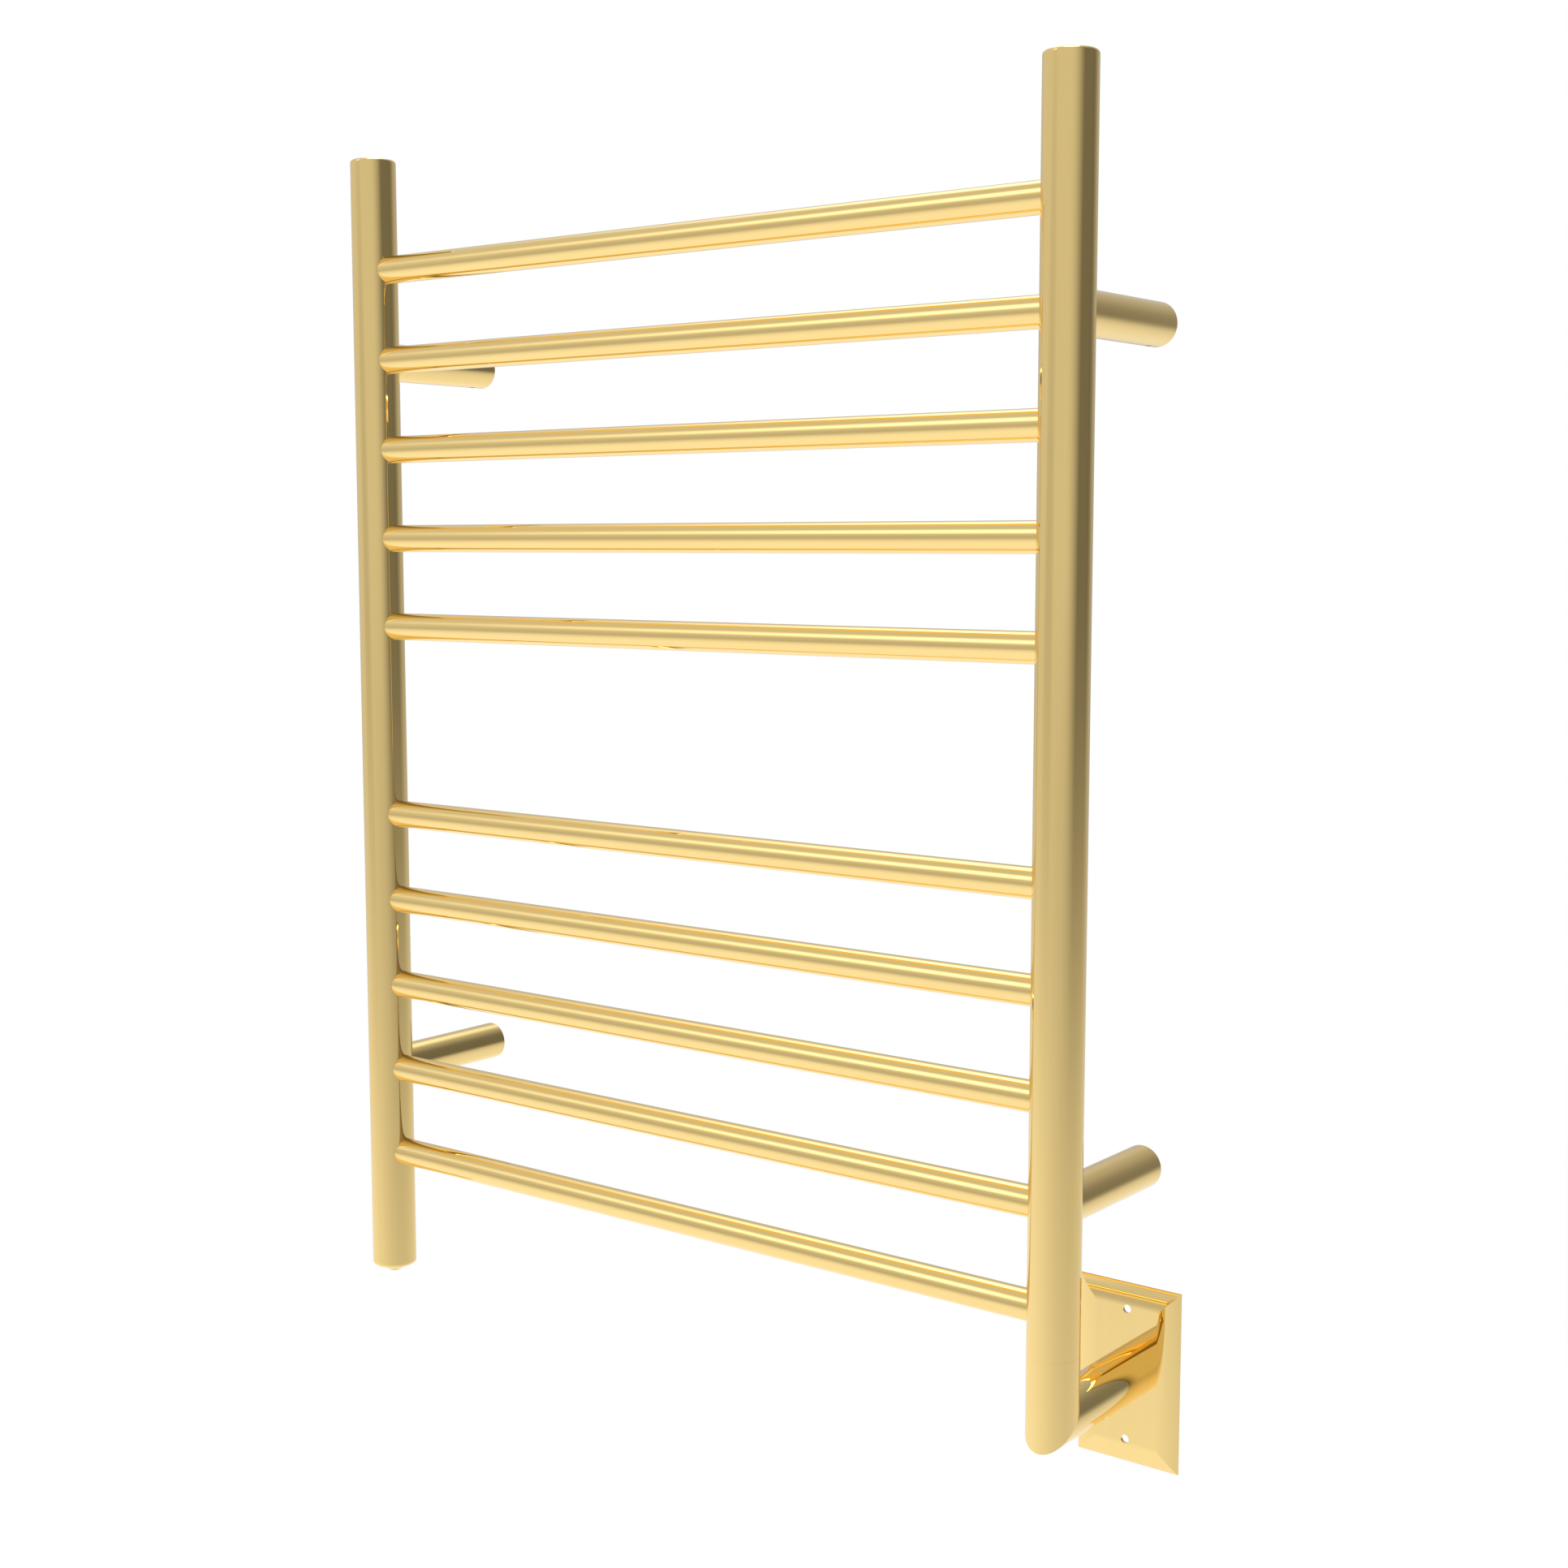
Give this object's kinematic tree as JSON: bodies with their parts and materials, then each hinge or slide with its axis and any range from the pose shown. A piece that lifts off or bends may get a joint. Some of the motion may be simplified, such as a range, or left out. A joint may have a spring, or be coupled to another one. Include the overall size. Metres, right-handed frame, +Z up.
{
  "type": "electric towel warmer",
  "caption": "Wall-mounted ladder towel warmer in polished gold with round bars, rear stand-offs and a mitred wiring arm that carries a sliding cover plate.",
  "frame": {"origin": "on the wall plane, at the centre of the four wall fixings", "axes": "+X to the right seen from the room, +Y into the wall, +Z up"},
  "size_m": [0.6159, 0.1207, 0.836],
  "materials": {
    "polished_gold": "polished",
    "bare_steel": "turned",
    "tinned_brass": "satin",
    "silicone_sheath": "matte",
    "black_nylon": "satin",
    "white_nylon": "satin",
    "live_insulation": "satin",
    "neutral_insulation": "satin",
    "earth_insulation": "satin"
  },
  "bodies": {
    "rack": {"left_upright": "polished_gold", "right_upright": "polished_gold", "left_top_cap": "polished_gold", "right_top_cap": "polished_gold", "left_bottom_cap": "polished_gold", "elbow_stub": "polished_gold", "wiring_arm": "polished_gold", "towel_bar_01": "polished_gold", "towel_bar_02": "polished_gold", "towel_bar_03": "polished_gold", "towel_bar_04": "polished_gold", "towel_bar_05": "polished_gold", "towel_bar_06": "polished_gold", "towel_bar_07": "polished_gold", "towel_bar_08": "polished_gold", "towel_bar_09": "polished_gold", "towel_bar_10": "polished_gold", "standoff_upper_left": "polished_gold", "standoff_upper_right": "polished_gold", "standoff_lower_left": "polished_gold", "standoff_lower_right": "polished_gold", "wall_spigot_upper_left": "bare_steel", "wall_spigot_upper_right": "bare_steel", "wall_spigot_lower_left": "bare_steel", "wall_spigot_lower_right": "bare_steel", "set_screws": "bare_steel", "elbow_sleeve": "bare_steel", "inlet_bush": "black_nylon", "heating_cable": "silicone_sheath", "live_lead": "live_insulation", "neutral_lead": "neutral_insulation", "earth_lead": "earth_insulation", "earth_lug": "tinned_brass", "lead_splice": "tinned_brass", "thermal_cutout": "bare_steel", "terminal_block": "white_nylon"},
    "cover": {"cover_plate": "polished_gold"}
  },
  "joints": [
    {"name": "cover_plate_slide", "type": "slide", "parent": "rack", "child": "cover", "axis": [0, 1, 0], "range_m": [-0.072, 0.0117]}
  ]
}
